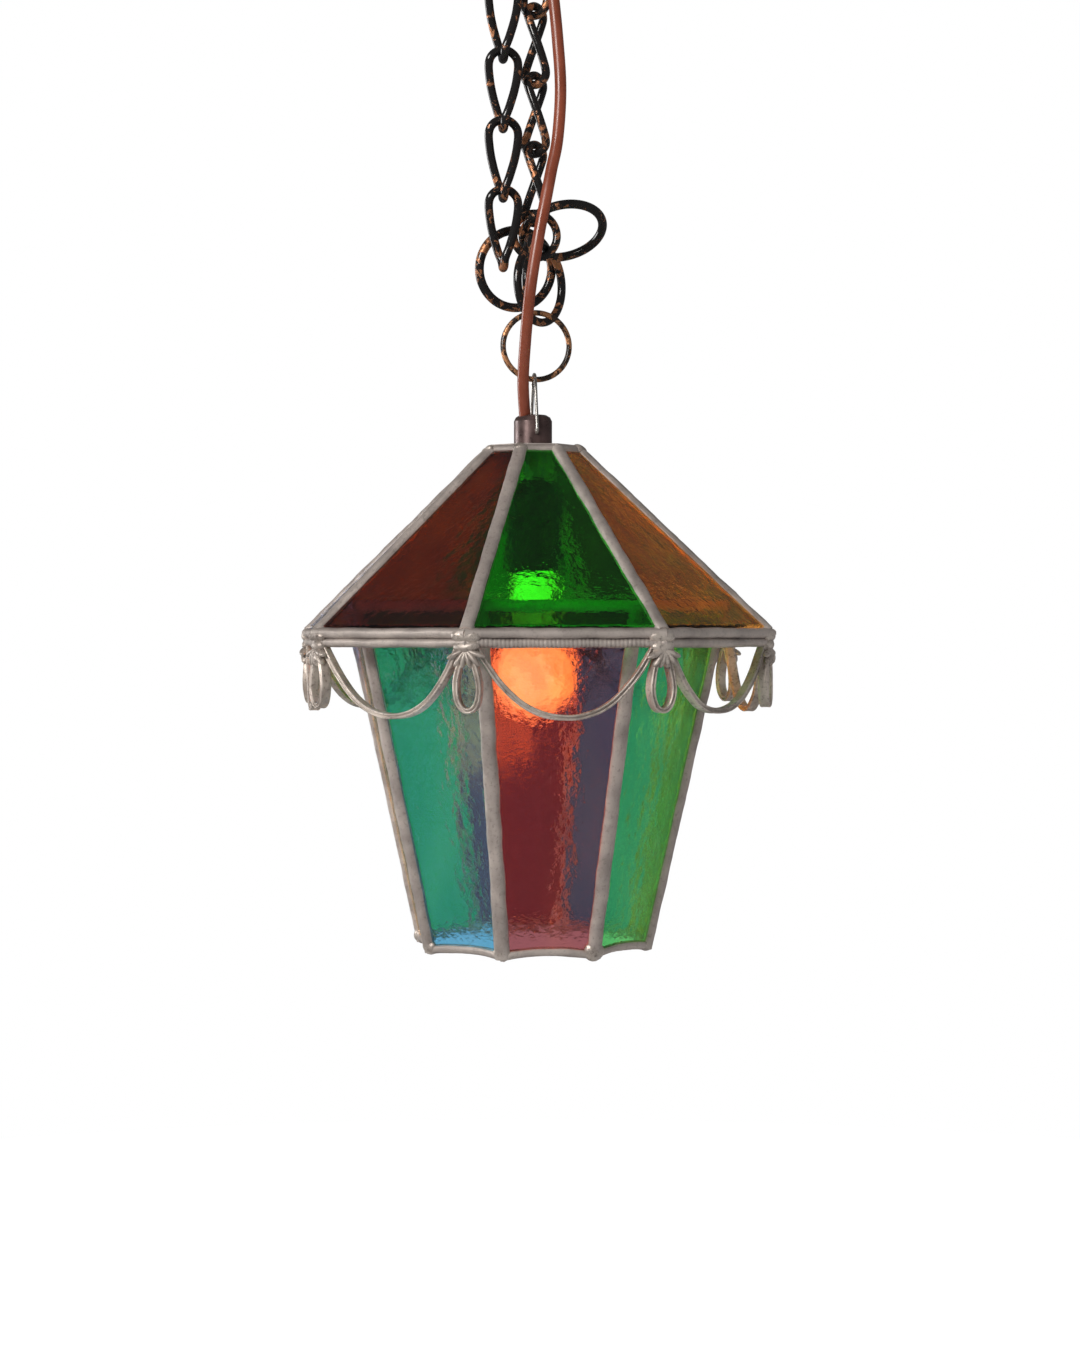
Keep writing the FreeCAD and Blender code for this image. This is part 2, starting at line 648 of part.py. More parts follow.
def lamp_screw_cap():
    """Ridged metal cap of the bulb with its contact pip."""
    low = LAMP_CAP_BOTTOM_Z
    outline = [(0, low), (LAMP_CAP_RADIUS - 0.4, low)]
    ridges = 5
    pitch = (LAMP_CAP_LENGTH - 6.0) / ridges
    for index in range(ridges):
        z = low + 1.0 + index * pitch
        outline.append((LAMP_CAP_RADIUS - 0.8, z))
        outline.append((LAMP_CAP_RADIUS, z + pitch / 2))
    top = low + LAMP_CAP_LENGTH
    outline += [(LAMP_CAP_RADIUS - 0.8, top - 5.0), (5.0, top - 1.5), (3.0, top), (0, top)]
    return revolved(outline)


def lampholder():
    """Cup that carries the bulb, closed at the top round the nipple."""
    outline = [
        (HOLDER_RADIUS - HOLDER_WALL, HOLDER_BOTTOM_Z), (HOLDER_RADIUS + 1.2, HOLDER_BOTTOM_Z),
        (HOLDER_RADIUS + 1.2, HOLDER_BOTTOM_Z + 4.0), (HOLDER_RADIUS, HOLDER_BOTTOM_Z + 5.5),
        (HOLDER_RADIUS, HOLDER_TOP_Z - 7.0), (HOLDER_RADIUS - 4.0, HOLDER_TOP_Z),
        (NIPPLE_RADIUS + NIPPLE_FIT, HOLDER_TOP_Z), (NIPPLE_RADIUS + NIPPLE_FIT, HOLDER_TOP_Z - 4.0),
        (HOLDER_RADIUS - HOLDER_WALL, HOLDER_TOP_Z - 9.0),
    ]
    return revolved(outline)


def nipple():
    """Threaded tube that joins the lampholder to the roof, with a flared mouth for the flex."""
    solid = tube(NIPPLE_RADIUS, NIPPLE_BORE, NIPPLE_BOTTOM_Z, NIPPLE_TOP_Z)
    flare = Part.makeCone(NIPPLE_BORE, NIPPLE_RADIUS - 0.5, 3.0, Vector(0, 0, NIPPLE_TOP_Z - 3.0))
    return solid.cut(flare)


def lock_nut(low):
    bore = Part.makeCylinder(NIPPLE_RADIUS + NIPPLE_FIT, 30, Vector(0, 0, low - 10))
    return hex_prism(NUT_ACROSS_FLATS, low, low + NUT_HEIGHT).cut(bore)


def build():
    """Build every piece and write it to its file."""
    top_ring_piece = roof_top_ring()
    rim = rim_came()
    eave = eave_came()
    hip = hip_came(eave, top_ring_piece)
    body_top = body_top_came()
    body_top = largest(cut_all(body_top, [hip, turned(hip, -1), roof_pane(GLASS_FIT), body_pane(GLASS_FIT)]))
    corner_piece = corner_came(rim, body_top)
    corner_piece = largest(cut_all(corner_piece, [hip]))
    roof_glass = roof_pane().cut(top_ring_piece)
    body_glass = body_pane()

    bow = largest(cut_all(bow_loop(), [eave, turned(eave, 1)]))
    festoon = largest(cut_all(swag(), [eave, bow, turned(bow, -1)]))
    front_neighbours = [festoon, turned(festoon, 1), bow, eave, turned(eave, 1)]
    eave_corner = corner(EAVE_RADIUS - 2.0, RIBBON_TOP_Z - 1.0, 0)
    eave_solder = solder(EAVE_SOLDER_RADIUS, eave_corner, front_neighbours)
    rim_tools = [rim, turned(rim, 1), corner_piece, body_glass, turned(body_glass, 1)]
    rim_solder = solder(RIM_SOLDER_RADIUS, corner(RIM_RADIUS + 1.5, RIM_CAME_HEIGHT, 0), rim_tools)
    top_tools = [top_ring_piece, hip, roof_glass, turned(roof_glass, 1)]
    crown_at = corner(COLLAR_OUTER_RADIUS + 1.1, ROOF_TOP_Z - 1.6, 0)
    crown_solder = solder(CROWN_SOLDER_RADIUS, crown_at, top_tools)

    for index in range(SIDES):
        save("roof_pane_" + str(index + 1), turned(roof_glass, index))
        save("body_pane_" + str(index + 1), turned(body_glass, index))
    save("bottom_rim_cames", around(rim))
    save("eave_cames", around(eave))
    save("roof_hip_cames", around(hip))
    save("body_top_cames", around(body_top))
    save("body_corner_cames", around(corner_piece))
    save("roof_top_collar", top_ring_piece)
    save("bow_loops", around(bow))
    save("festoon_swags", around(festoon))
    save("eave_solder_joints", around(eave_solder))
    save("rim_solder_joints", around(rim_solder))
    save("crown_solder_joints", around(crown_solder))

    plate_top = ROOF_TOP_Z + PLATE_THICKNESS
    flex = flex_cable()
    save("top_plate", top_plate())
    save("domed_cap", lantern_cap())
    save("lock_nut_upper", lock_nut(plate_top))
    save("lock_nut_lower", lock_nut(ROOF_TOP_Z - NUT_HEIGHT))
    save("threaded_nipple", nipple())
    save("lampholder", lampholder())
    save("bulb_globe", globe())
    save("bulb_screw_cap", lamp_screw_cap())
    save("wire_bail", wire_bail())
    save("flex_cable", flex)

    rings = {"ring_a": RING_A, "ring_b": RING_B, "ring_c": RING_C}
    rings.update({"ring_d": RING_D, "ring_e": RING_E, "ring_f": RING_F})
    for name, ring in rings.items():
        save(name, wire_ring(ring))
    save("top_ring", top_ring())
    for index, link in enumerate(load_links()):
        save("load_link_" + str(index + 1), link)
    for index, link in enumerate(slack_links()):
        save("slack_link_" + str(index + 1), link)


os.makedirs("parts", exist_ok=True)
build()
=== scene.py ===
import math

import bmesh
import bpy
import numpy as np
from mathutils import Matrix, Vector, noise


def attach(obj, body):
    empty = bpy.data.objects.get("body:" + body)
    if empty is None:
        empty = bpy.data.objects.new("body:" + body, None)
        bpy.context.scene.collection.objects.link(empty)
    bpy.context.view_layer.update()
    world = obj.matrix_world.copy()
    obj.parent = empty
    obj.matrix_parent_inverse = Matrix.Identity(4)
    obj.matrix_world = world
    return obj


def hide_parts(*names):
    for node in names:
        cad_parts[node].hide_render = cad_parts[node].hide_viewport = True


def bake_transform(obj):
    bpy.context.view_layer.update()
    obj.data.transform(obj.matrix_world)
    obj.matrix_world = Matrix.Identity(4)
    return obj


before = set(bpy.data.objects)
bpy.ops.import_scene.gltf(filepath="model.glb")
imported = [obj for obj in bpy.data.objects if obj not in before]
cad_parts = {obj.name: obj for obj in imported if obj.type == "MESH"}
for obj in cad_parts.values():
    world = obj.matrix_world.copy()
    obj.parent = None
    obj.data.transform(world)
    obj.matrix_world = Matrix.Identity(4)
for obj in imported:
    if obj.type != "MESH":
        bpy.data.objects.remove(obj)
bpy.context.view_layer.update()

# Lantern dimensions in metres, as in the CAD frame: radii reach the corners of the octagon.
SIDES = 8
HALF_ANGLE = math.pi / SIDES
RIM_RADIUS = 0.0575
BODY_TOP_RADIUS, BODY_TOP_Z = 0.0965, 0.172
EAVE_RADIUS, EAVE_Z = 0.1185, 0.1565
ROOF_TOP_RADIUS, ROOF_TOP_Z = 0.0220, 0.2485
RIBBON_Z = 0.1500
SWAG_DROP = 0.0315
BOW_HEIGHT = 0.0285
BOW_HALF_WIDTH = 0.0064
GLASS_THICKNESS = 0.0026
# Glass is meshed on a grid of this spacing.
GRID = 0.0016
COLLAR_RADIUS = 0.0232
# Corner cames cover this share of their line, and stop before the lead above them.
CAME_REACH = 0.985
# Pitch of the cross ribs on the lower eave bead and on the milled swags, and which sides have them.
ROPE_PITCH, MILL_PITCH = 0.0019, 0.0017
ROPE_SIDES, MILLED_SWAGS = (0, 2, 5), (0, 3, 6)

# Colours of the panes, counted from the front to the right.
ROOF_COLOURS = ["green", "amber", "blue", "red", "green", "amber", "blue", "red"]
BODY_COLOURS = ["red", "green", "amber", "blue", "red", "green", "amber", "blue"]


# Small vector helpers ------------------------------------------------------------------------

def unit(v):
    v = np.asarray(v, float)
    return v / np.linalg.norm(v)


def corner(radius, z, index):
    """Corner of the octagon to the right of side number index, counted from the front."""
    angle = -math.pi / 2 + HALF_ANGLE + index * 2 * HALF_ANGLE
    return np.array([radius * math.cos(angle), radius * math.sin(angle), z])


def wobble(points, scale, seed):
    """Smooth noise between about -1 and 1 at each point, with features of the given size."""
    shift = Vector((seed * 7.31, seed * 3.17, seed * 5.93))
    return np.array([noise.noise(Vector(p) / scale + shift) for p in points])


# Mesh builders ---------------------------------------------------------------------------------

def make_mesh(name, vertices, faces):
    """Mesh object with smooth sides; its many-sided end caps stay flat."""
    mesh = bpy.data.meshes.new(name)
    mesh.from_pydata([tuple(v) for v in vertices], [], [tuple(f) for f in faces])
    mesh.validate()
    mesh.update()
    mesh.polygons.foreach_set("use_smooth", [len(face.vertices) <= 4 for face in mesh.polygons])
    sharp = [False] * len(mesh.edges)
    for face in mesh.polygons:
        if len(face.vertices) > 4:
            for loop in face.loop_indices:
                sharp[mesh.loops[loop].edge_index] = True
    mesh.edges.foreach_set("use_edge_sharp", sharp)
    piece = bpy.data.objects.new(name, mesh)
    bpy.context.scene.collection.objects.link(piece)
    return piece


class Heap:
    """Collects the vertices and faces of several shapes for one piece."""

    def __init__(self):
        self.vertices, self.faces = [], []

    def add(self, vertices, faces):
        start = len(self.vertices)
        self.vertices.extend(list(vertices))
        self.faces.extend([[start + i for i in face] for face in faces])

    def piece(self, name):
        return make_mesh(name, self.vertices, self.faces)


def tube_faces(rings, around, closed):
    """Quads between successive rings of points, with end caps on an open tube."""
    faces = []
    last = rings if closed else rings - 1
    for i in range(last):
        j = (i + 1) % rings
        for k in range(around):
            m = (k + 1) % around
            faces.append([i * around + k, i * around + m, j * around + m, j * around + k])
    if not closed:
        faces.append(list(range(around))[::-1])
        faces.append([(rings - 1) * around + k for k in range(around)])
    return faces


def sweep(path, side, section, closed=False, scale=None):
    """Carry a section along a path. side is the section's first axis at every path point."""
    path = np.asarray(path, float)
    count = len(path)
    if closed:
        ahead, behind = np.roll(path, -1, 0), np.roll(path, 1, 0)
    else:
        ahead = np.vstack([path[1:], path[-1:] * 2 - path[-2:-1]])
        behind = np.vstack([path[:1] * 2 - path[1:2], path[:-1]])
    tangents = ahead - behind
    tangents /= np.linalg.norm(tangents, axis=1)[:, None]
    sides = np.broadcast_to(side, (count, 3)).astype(float)
    sides = sides - (sides * tangents).sum(1)[:, None] * tangents
    sides /= np.linalg.norm(sides, axis=1)[:, None]
    ups = np.cross(tangents, sides)
    sizes = np.ones(count) if scale is None else np.asarray(scale)
    vertices = []
    for i in range(count):
        local = section(i / max(count - 1, 1)) if callable(section) else section
        for across, deep in local:
            vertices.append(path[i] + sizes[i] * (across * sides[i] + deep * ups[i]))
    around = len(section(0.0)) if callable(section) else len(section)
    return np.array(vertices), tube_faces(count, around, closed)


def dented(vertices, amount, size, seed):
    """Push points about with smooth noise, as soft lead is dented by handling."""
    vertices = np.asarray(vertices, float)
    offset = np.stack([wobble(vertices, size, seed + k) for k in range(3)], 1)
    return vertices + offset * amount


def line(start, end, count):
    share = np.linspace(0, 1, count)[:, None]
    return start * (1 - share) + end * share


def came_section(width, depth, count=18):
    """Soldered came: thin edges on the glass and a soft ridge along its middle."""
    points = []
    for k in range(count):
        angle = 2 * math.pi * k / count
        across = math.copysign(abs(math.cos(angle)) ** 0.75, math.cos(angle)) * width / 2
        deep = math.copysign(abs(math.sin(angle)) ** 1.25, math.sin(angle)) * depth / 2
        points.append((across, deep))
    return points


def ribbon_section(thickness, depth):
    """Strip of drawn came on edge: two flanges with a channel between them, open front and back."""
    half, reach = thickness / 2, depth / 2
    lip, inner, floor = 0.17 * thickness, 0.12 * thickness, reach - 0.24 * depth
    left = [(-half, -0.78 * reach), (-0.92 * half, -0.3 * reach), (-0.92 * half, 0.3 * reach),
            (-half, 0.78 * reach)]
    top = [(-0.8 * half, 0.96 * reach), (-0.6 * half, reach), (-lip, 0.97 * reach), (-inner, floor),
           (inner, floor), (lip, 0.97 * reach), (0.6 * half, reach), (0.8 * half, 0.96 * reach)]
    points = left + top
    return points + [(-across, -deep) for across, deep in points]


def lump(centre, radii, axes, seed, rings=9, around=14):
    """Rounded uneven lump of solder, with its own three axes."""
    vertices, faces = [], []
    for i in range(1, rings):
        polar = math.pi * i / rings
        for k in range(around):
            angle = 2 * math.pi * k / around
            local = (math.sin(polar) * math.cos(angle), math.sin(polar) * math.sin(angle), math.cos(polar))
            point = np.array(centre, float)
            for axis, radius, share in zip(axes, radii, local):
                point = point + np.asarray(axis) * radius * share
            vertices.append(point)
    top, bottom = len(vertices), len(vertices) + 1
    vertices.append(np.array(centre) + np.asarray(axes[2]) * radii[2])
    vertices.append(np.array(centre) - np.asarray(axes[2]) * radii[2])
    for i in range(rings - 2):
        for k in range(around):
            m = (k + 1) % around
            faces.append([i * around + k, (i + 1) * around + k, (i + 1) * around + m, i * around + m])
    for k in range(around):
        m = (k + 1) % around
        faces.append([top, k, m])
        faces.append([bottom, (rings - 2) * around + m, (rings - 2) * around + k])
    return dented(vertices, 0.28 * min(radii), 1.3 * max(radii), seed), faces


# Glass -------------------------------------------------------------------------------------------

def side_axes(index):
    left, right = corner(1.0, 0.0, index - 1), corner(1.0, 0.0, index)
    across = unit(right - left)
    outward = unit(left + right)
    return across, outward


def pane_corners(node, index):
    """The four corners of a CAD pane's middle plane, with its slope's outward direction."""
    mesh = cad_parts[node].data
    points = np.array([v.co for v in mesh.vertices], float)
    across, outward = side_axes(index)
    flat = points @ across
    height = points[:, 2]
    low_band = height < height.min() + 0.004
    high_band = height > height.max() - 0.004
    out = points @ outward
    low_right = np.array([flat[low_band].max(), out[low_band].mean(), height[low_band].mean()])
    high_right = np.array([flat[high_band].max(), out[high_band].mean(), height[high_band].mean()])

    def place(local, sign):
        return across * local[0] * sign + outward * local[1] + np.array([0, 0, local[2]])

    corners = [place(low_right, -1), place(low_right, 1), place(high_right, 1), place(high_right, -1)]
    slope = unit((corners[2] + corners[3]) - (corners[0] + corners[1]))
    return corners, unit(np.cross(across, slope))


def hammered(u, v, seed, strength):
    """Height of rolled cathedral glass: soft dimples drawn out along the pane."""
    point = Vector((u / 0.0065, v / 0.0135, seed * 3.7))
    fine = Vector((u / 0.0028, v / 0.0044, seed * 5.1))
    broad = Vector((u / 0.022, v / 0.05, seed * 2.3))
    height = 0.6 * noise.noise(point) + 0.22 * noise.noise(fine) + 0.5 * noise.noise(broad)
    return strength * height


def glass_pane(name, node, index, seed, strength):
    corners, normal = pane_corners(node, index)
    low_left, low_right, high_right, high_left = corners
    width = np.linalg.norm(low_right - low_left)
    top_width = np.linalg.norm(high_right - high_left)
    height = np.linalg.norm((high_left + high_right - low_left - low_right) / 2)
    columns = int(max(width, top_width) / GRID)
    rows = int(height / GRID)
    vertices, faces = [], []
    for face_sign, roughness in ((1, strength), (-1, strength * 0.75)):
        for i in range(rows + 1):
            t = i / rows
            left = low_left * (1 - t) + high_left * t
            right = low_right * (1 - t) + high_right * t
            for j in range(columns + 1):
                s = j / columns
                base = left * (1 - s) + right * s
                edge = min(1.0, 12 * min(t, 1 - t, s, 1 - s) + 0.15)
                u = (s - 0.5) * np.linalg.norm(right - left)
                push = hammered(u, t * height, seed + face_sign * 0.37, roughness) * edge
                vertices.append(base + normal * (face_sign * GLASS_THICKNESS / 2 + push))
    across = columns + 1
    back = (rows + 1) * across
    for i in range(rows):
        for j in range(columns):
            a = i * across + j
            faces.append([a, a + 1, a + across + 1, a + across])
            faces.append([back + a, back + a + across, back + a + across + 1, back + a + 1])
    border = list(range(across))
    border += [i * across + columns for i in range(1, rows + 1)]
    border += [rows * across + j for j in range(columns - 1, -1, -1)]
    border += [i * across for i in range(rows - 1, 0, -1)]
    for k, a in enumerate(border):
        b = border[(k + 1) % len(border)]
        faces.append([a, back + a, back + b, b])
    return make_mesh(name, vertices, faces)


# Lead work ---------------------------------------------------------------------------------------

def seam_points(start, end, step):
    return line(start, end, max(3, int(np.linalg.norm(end - start) / step)))


def corner_cames(name, low, high, width, depth, seed):
    """Cames along the eight corner lines between two radii and heights, just short of the upper one."""
    heap = Heap()
    for index in range(SIDES):
        a, b = corner(*low, index), corner(*high, index)
        path = seam_points(a, a + (b - a) * CAME_REACH, 0.0022)
        tangential = np.cross([0, 0, 1], corner(1.0, 0.0, index))
        swell = 1 + 0.05 * wobble(path, 0.02, seed + index * 0.7)
        vertices, faces = sweep(path, tangential, came_section(width, depth), scale=swell)
        vertices = dented(vertices, 0.00035, 0.011, seed + index)
        heap.add(dented(vertices, 0.00016, 0.0032, seed + index + 40), faces)
    return heap.piece(name)


def ring_bead(heap, radius, z, width, depth, seed, bow=0.0, rope_sides=()):
    """One bead of lead along each side at the given corner radius; bow lifts its middle.
    On rope_sides it is milled across, like a rope."""
    for index in range(SIDES):
        a, b = corner(radius, z, index - 1), corner(radius, z, index)
        reach = unit(b - a) * 0.0012
        path = seam_points(a - reach, b + reach, 0.0007 if index in rope_sides else 0.002)
        share = np.linspace(-1, 1, len(path))
        path[:, 2] += bow * (1 - share ** 2)
        up = np.array([0, 0, 1.0])
        swell = 1 + 0.05 * wobble(path, 0.016, seed + index * 0.9)
        if index in rope_sides:
            run = np.linspace(0, np.linalg.norm(b - a), len(path))
            swell = swell * (1 + 0.07 * np.cos(2 * math.pi * run / ROPE_PITCH))
        vertices, faces = sweep(path, up, came_section(width, depth), scale=swell)
        vertices = dented(vertices, 0.0003, 0.012, seed + index)
        heap.add(dented(vertices, 0.00012, 0.003, seed + index + 30), faces)


def teardrop_path(index, count=46):
    """Open loop that leaves the eave at a corner, hangs down and comes back to the same place."""
    outward = corner(1.0, 0.0, index)
    across = unit(np.cross([0, 0, 1], outward))
    lean = (0.0008 * math.sin(index * 2.1), 0.0012 * math.cos(index * 1.7))
    top = corner(EAVE_RADIUS - 0.0012, RIBBON_Z, index)
    points = []
    for k in range(count):
        angle = 2 * math.pi * (0.03 + 0.94 * k / (count - 1))
        drop = (1 - math.cos(angle)) / 2
        rise = -(BOW_HEIGHT + lean[1] * 0.5) * drop
        half_width = BOW_HALF_WIDTH * (1 + 0.06 * math.sin(index * 3.3))
        sideways = half_width * math.sin(angle) * abs(math.sin(angle / 2)) ** 0.8 * 1.15
        points.append(top + across * (sideways + lean[0] * drop) + np.array([0, 0, rise]))
    return np.array(points), outward


def swag_path(index, count=44):
    """Festoon between two eave corners; each one hangs a little differently."""
    across, outward = side_axes(index)
    half_side = EAVE_RADIUS * math.sin(HALF_ANGLE) - 0.0042
    distance = (EAVE_RADIUS - 0.0005) * math.cos(HALF_ANGLE)
    skew = 0.035 * math.sin(index * 1.9 + 0.6)
    drop = SWAG_DROP * (1 + 0.03 * math.cos(index * 2.7))
    points = []
    for k in range(count):
        share = -1 + 2 * k / (count - 1)
        eased = math.copysign(abs(share) ** 0.92, share)
        sag = drop * (1 - abs(share) ** 2.15)
        middle = outward * distance + across * half_side * (eased + skew * (1 - share ** 2))
        points.append(middle + np.array([0, 0, RIBBON_Z + 0.0008 - sag]))
    return np.array(points), outward


def ribbons(name, paths, thickness, depth, seed, milled=()):
    """Lead strips on edge along the given paths; milled ones carry fine cross ribs in the middle."""
    heap = Heap()
    for number, (path, outward) in enumerate(paths):
        steps = np.linalg.norm(np.diff(path, axis=0), axis=1)
        run = np.concatenate([[0], np.cumsum(steps)])
        spacing = 0.0006 if number in milled else 0.0016
        fine = np.arange(0, run[-1], spacing)
        dense = np.stack([np.interp(fine, run, path[:, k]) for k in range(3)], 1)
        dense = smoothed(dense, 3)
        swell = 1 + 0.06 * wobble(dense, 0.013, seed + number)
        if number in milled:
            middle = np.clip(1.6 - np.abs(fine / run[-1] - 0.5) * 7, 0, 1)
            swell = swell * (1 + 0.075 * middle * np.cos(2 * math.pi * fine / MILL_PITCH))
        side = np.cross(np.gradient(dense, axis=0), outward)
        section = ribbon_section(thickness, depth)
        vertices, faces = sweep(dense, side, section, scale=swell)
        heap.add(dented(vertices, 0.00022, 0.009, seed + number + 10), faces)
    return heap.piece(name)


def smoothed(points, passes):
    points = points.copy()
    for _ in range(passes):
        points[1:-1] = (points[:-2] + 2 * points[1:-1] + points[2:]) / 4
    return points


# Gathered ribbon ends below each eave knot: the angle that each one fans out by and its length.
RIBBON_ENDS = [(-1.15, 0.0082), (-0.62, 0.0080), (-0.2, 0.0072),
               (0.25, 0.0074), (0.7, 0.0082), (1.2, 0.0080)]


def eave_knots(name):
    """Solder lumps at the eave corners, with the gathered ends of the ribbons below them."""
    heap = Heap()
    for index in range(SIDES):
        outward = corner(1.0, 0.0, index)
        across = unit(np.cross([0, 0, 1], outward))
        up = np.array([0, 0, 1.0])
        axes = (across, outward, up)
        at = corner(EAVE_RADIUS - 0.0002, EAVE_Z - 0.0008, index)
        heap.add(*lump(at, (0.0072, 0.0036, 0.0034), axes, 3 + index))
        heap.add(*lump(at - up * 0.0046, (0.0062, 0.0032, 0.0032), axes, 23 + index))
        for turn, size in RIBBON_ENDS:
            direction = unit(across * math.sin(turn) - up * math.cos(turn) + outward * 0.05)
            flat = unit(np.cross(direction, outward))
            place = at - up * 0.0062 + direction * size * 0.55 + outward * 0.0004
            heap.add(*lump(place, (0.0015, 0.0026, size * 0.66), (flat, outward, direction), 43 + index))
    return heap.piece(name)


def corner_lumps(name, radius, z, radii, seed):
    heap = Heap()
    for index in range(SIDES):
        outward = corner(1.0, 0.0, index)
        across = unit(np.cross([0, 0, 1], outward))
        vary = 1 + 0.18 * math.sin(index * 2.3 + seed)
        sizes = [r * vary for r in radii]
        axes = (across, outward, np.array([0, 0, 1.0]))
        heap.add(*lump(corner(radius, z, index), sizes, axes, seed + index))
    return heap.piece(name)


# Cable and chain ---------------------------------------------------------------------------------

FLEX_RADIUS = 0.0029
FLEX_STEP = 0.0012
FLEX_PATH = [
    (0, 0, 0.2300), (0, 0, 0.2430), (-0.0013, 0, 0.2510), (-0.0041, -0.0002, 0.2570),
    (-0.0044, -0.0020, 0.2650), (-0.0060, -0.0080, 0.2810), (-0.0062, -0.0165, 0.2980),
    (-0.0049, -0.0254, 0.3235), (-0.0010, -0.0273, 0.3500), (0.0032, -0.0265, 0.3710),
    (0.0058, -0.0245, 0.3835), (0.0091, -0.0225, 0.3990), (0.0109, -0.0205, 0.4235),
    (0.0097, -0.0185, 0.4485), (0.0074, -0.0170, 0.4735), (0.0045, -0.0155, 0.5000),
    (0.0030, -0.0145, 0.5260), (0.0030, -0.0145, 0.5470), (0.0030, -0.0145, 0.5720),
]
# Each stretch of flex spans one joint: the body below it, the body above it, and its top.
FLEX_STRETCHES = [
    ("lantern", "wire_bail", 0.2690), ("wire_bail", "ring_a", 0.2980), ("ring_a", "ring_b", 0.3300),
    ("ring_b", "ring_e", 0.3560), ("ring_e", "load_link_4", 0.3810), ("load_link_4", "load_link_3", 0.4150),
    ("load_link_3", "load_link_2", 0.4490), ("load_link_2", "load_link_1", 0.4830),
    ("load_link_1", "ceiling_ring", 0.5720),
]


def spline(points, steps):
    """Smooth curve through the points."""
    points = np.array(points, float)
    padded = np.vstack([2 * points[0] - points[1], points, 2 * points[-1] - points[-2]])
    curve = []
    for i in range(1, len(padded) - 2):
        a, b, c, d = padded[i - 1:i + 3]
        for k in range(steps):
            t = k / steps
            curve.append(0.5 * (2 * b + (c - a) * t + (2 * a - 5 * b + 4 * c - d) * t ** 2
                                + (3 * b - a - 3 * c + d) * t ** 3))
    curve.append(points[-1])
    return np.array(curve)


def round_section(radius, count=20):
    return [(radius * math.cos(2 * math.pi * k / count), radius * math.sin(2 * math.pi * k / count))
            for k in range(count)]


def flex_pieces(material):
    """One smooth tube, cut into stretches that share their end rings."""
    curve = spline(FLEX_PATH, 12)
    levels, ends = [FLEX_PATH[0][2]], [0]
    for _, _, high in FLEX_STRETCHES:
        count = int((high - levels[-1]) / FLEX_STEP)
        levels.extend(np.linspace(levels[-1], high, count + 1)[1:])
        ends.append(len(levels) - 1)
    path = np.stack([np.interp(levels, curve[:, 2], curve[:, k]) for k in range(3)], 1)
    section = round_section(FLEX_RADIUS)
    vertices, _ = sweep(path, np.array([1.0, 0, 0]), section)
    for number, (below, above, high) in enumerate(FLEX_STRETCHES):
        first, last = ends[number], ends[number + 1]
        rings = vertices[first * len(section):(last + 1) * len(section)]
        faces = tube_faces(last - first + 1, len(section), False)
        piece = make_mesh("flex_stretch_" + str(number + 1), rings, faces)
        piece.data.materials.append(material)
        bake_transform(piece)
        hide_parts("flex_cable")


def lathe(name, outline, steps=64):
    """Closed solid of revolution about the lantern's axis from (radius, z) points."""
    vertices, faces = [], []
    count = len(outline)
    for k in range(steps):
        angle = 2 * math.pi * k / steps
        for radius, z in outline:
            vertices.append((radius * math.cos(angle), radius * math.sin(angle), z))
    for k in range(steps):
        m = (k + 1) % steps
        for i in range(count - 1):
            faces.append([k * count + i, m * count + i, m * count + i + 1, k * count + i + 1])
    piece = make_mesh(name, vertices, faces)
    weld(piece)
    return piece


def weld(piece, distance=1e-6):
    """Merge points that coincide and turn every face outwards."""
    mesh = bmesh.new()
    mesh.from_mesh(piece.data)
    bmesh.ops.remove_doubles(mesh, verts=mesh.verts, dist=distance)
    bmesh.ops.recalc_face_normals(mesh, faces=mesh.faces)
    mesh.to_mesh(piece.data)
    mesh.free()


# Materials ---------------------------------------------------------------------------------------

